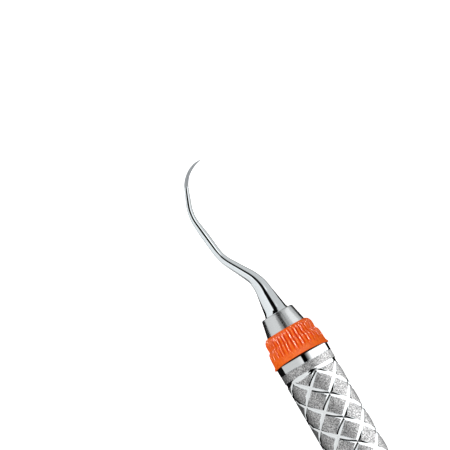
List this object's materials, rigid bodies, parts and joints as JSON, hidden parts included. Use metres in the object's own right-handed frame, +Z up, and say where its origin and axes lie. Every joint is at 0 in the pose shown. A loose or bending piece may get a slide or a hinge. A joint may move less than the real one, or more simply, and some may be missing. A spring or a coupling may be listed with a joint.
{
  "type": "dental explorer",
  "caption": "Double-ended dental explorer: round hollow handle with a diamond grip, an orange ribbed ring at each nose, and slim curved working ends that taper to fine hooked points.",
  "frame": {"origin": "on the handle's axis, at the middle of the instrument's length", "axes": "+X along the handle towards the front working end, +Z up; both working ends bend in the XY plane, the front one first towards +Y"},
  "size_m": [0.1796, 0.0102, 0.0102],
  "materials": {
    "blasted_steel": "fine bead-blasted pads with polished grooves between them",
    "polished_steel": "fine-turned and polished",
    "shank_steel": "mirror polished, satin at the tip",
    "orange_silicone": "glossy moulded silicone"
  },
  "bodies": {
    "handle": {"handle_tube": "blasted_steel", "front_nose_cone": "polished_steel", "rear_nose_cone": "polished_steel", "front_working_end": "shank_steel", "rear_working_end": "shank_steel"},
    "front_ring": {"front_grip_ring": "orange_silicone"},
    "rear_ring": {"rear_grip_ring": "orange_silicone"}
  },
  "joints": [
    {"name": "front_ring_slide", "type": "slide", "parent": "handle", "child": "front_ring", "axis": [1, 0, 0], "range_m": [0, 0.009]},
    {"name": "rear_ring_slide", "type": "slide", "parent": "handle", "child": "rear_ring", "axis": [-1, 0, 0], "range_m": [0, 0.009]}
  ]
}
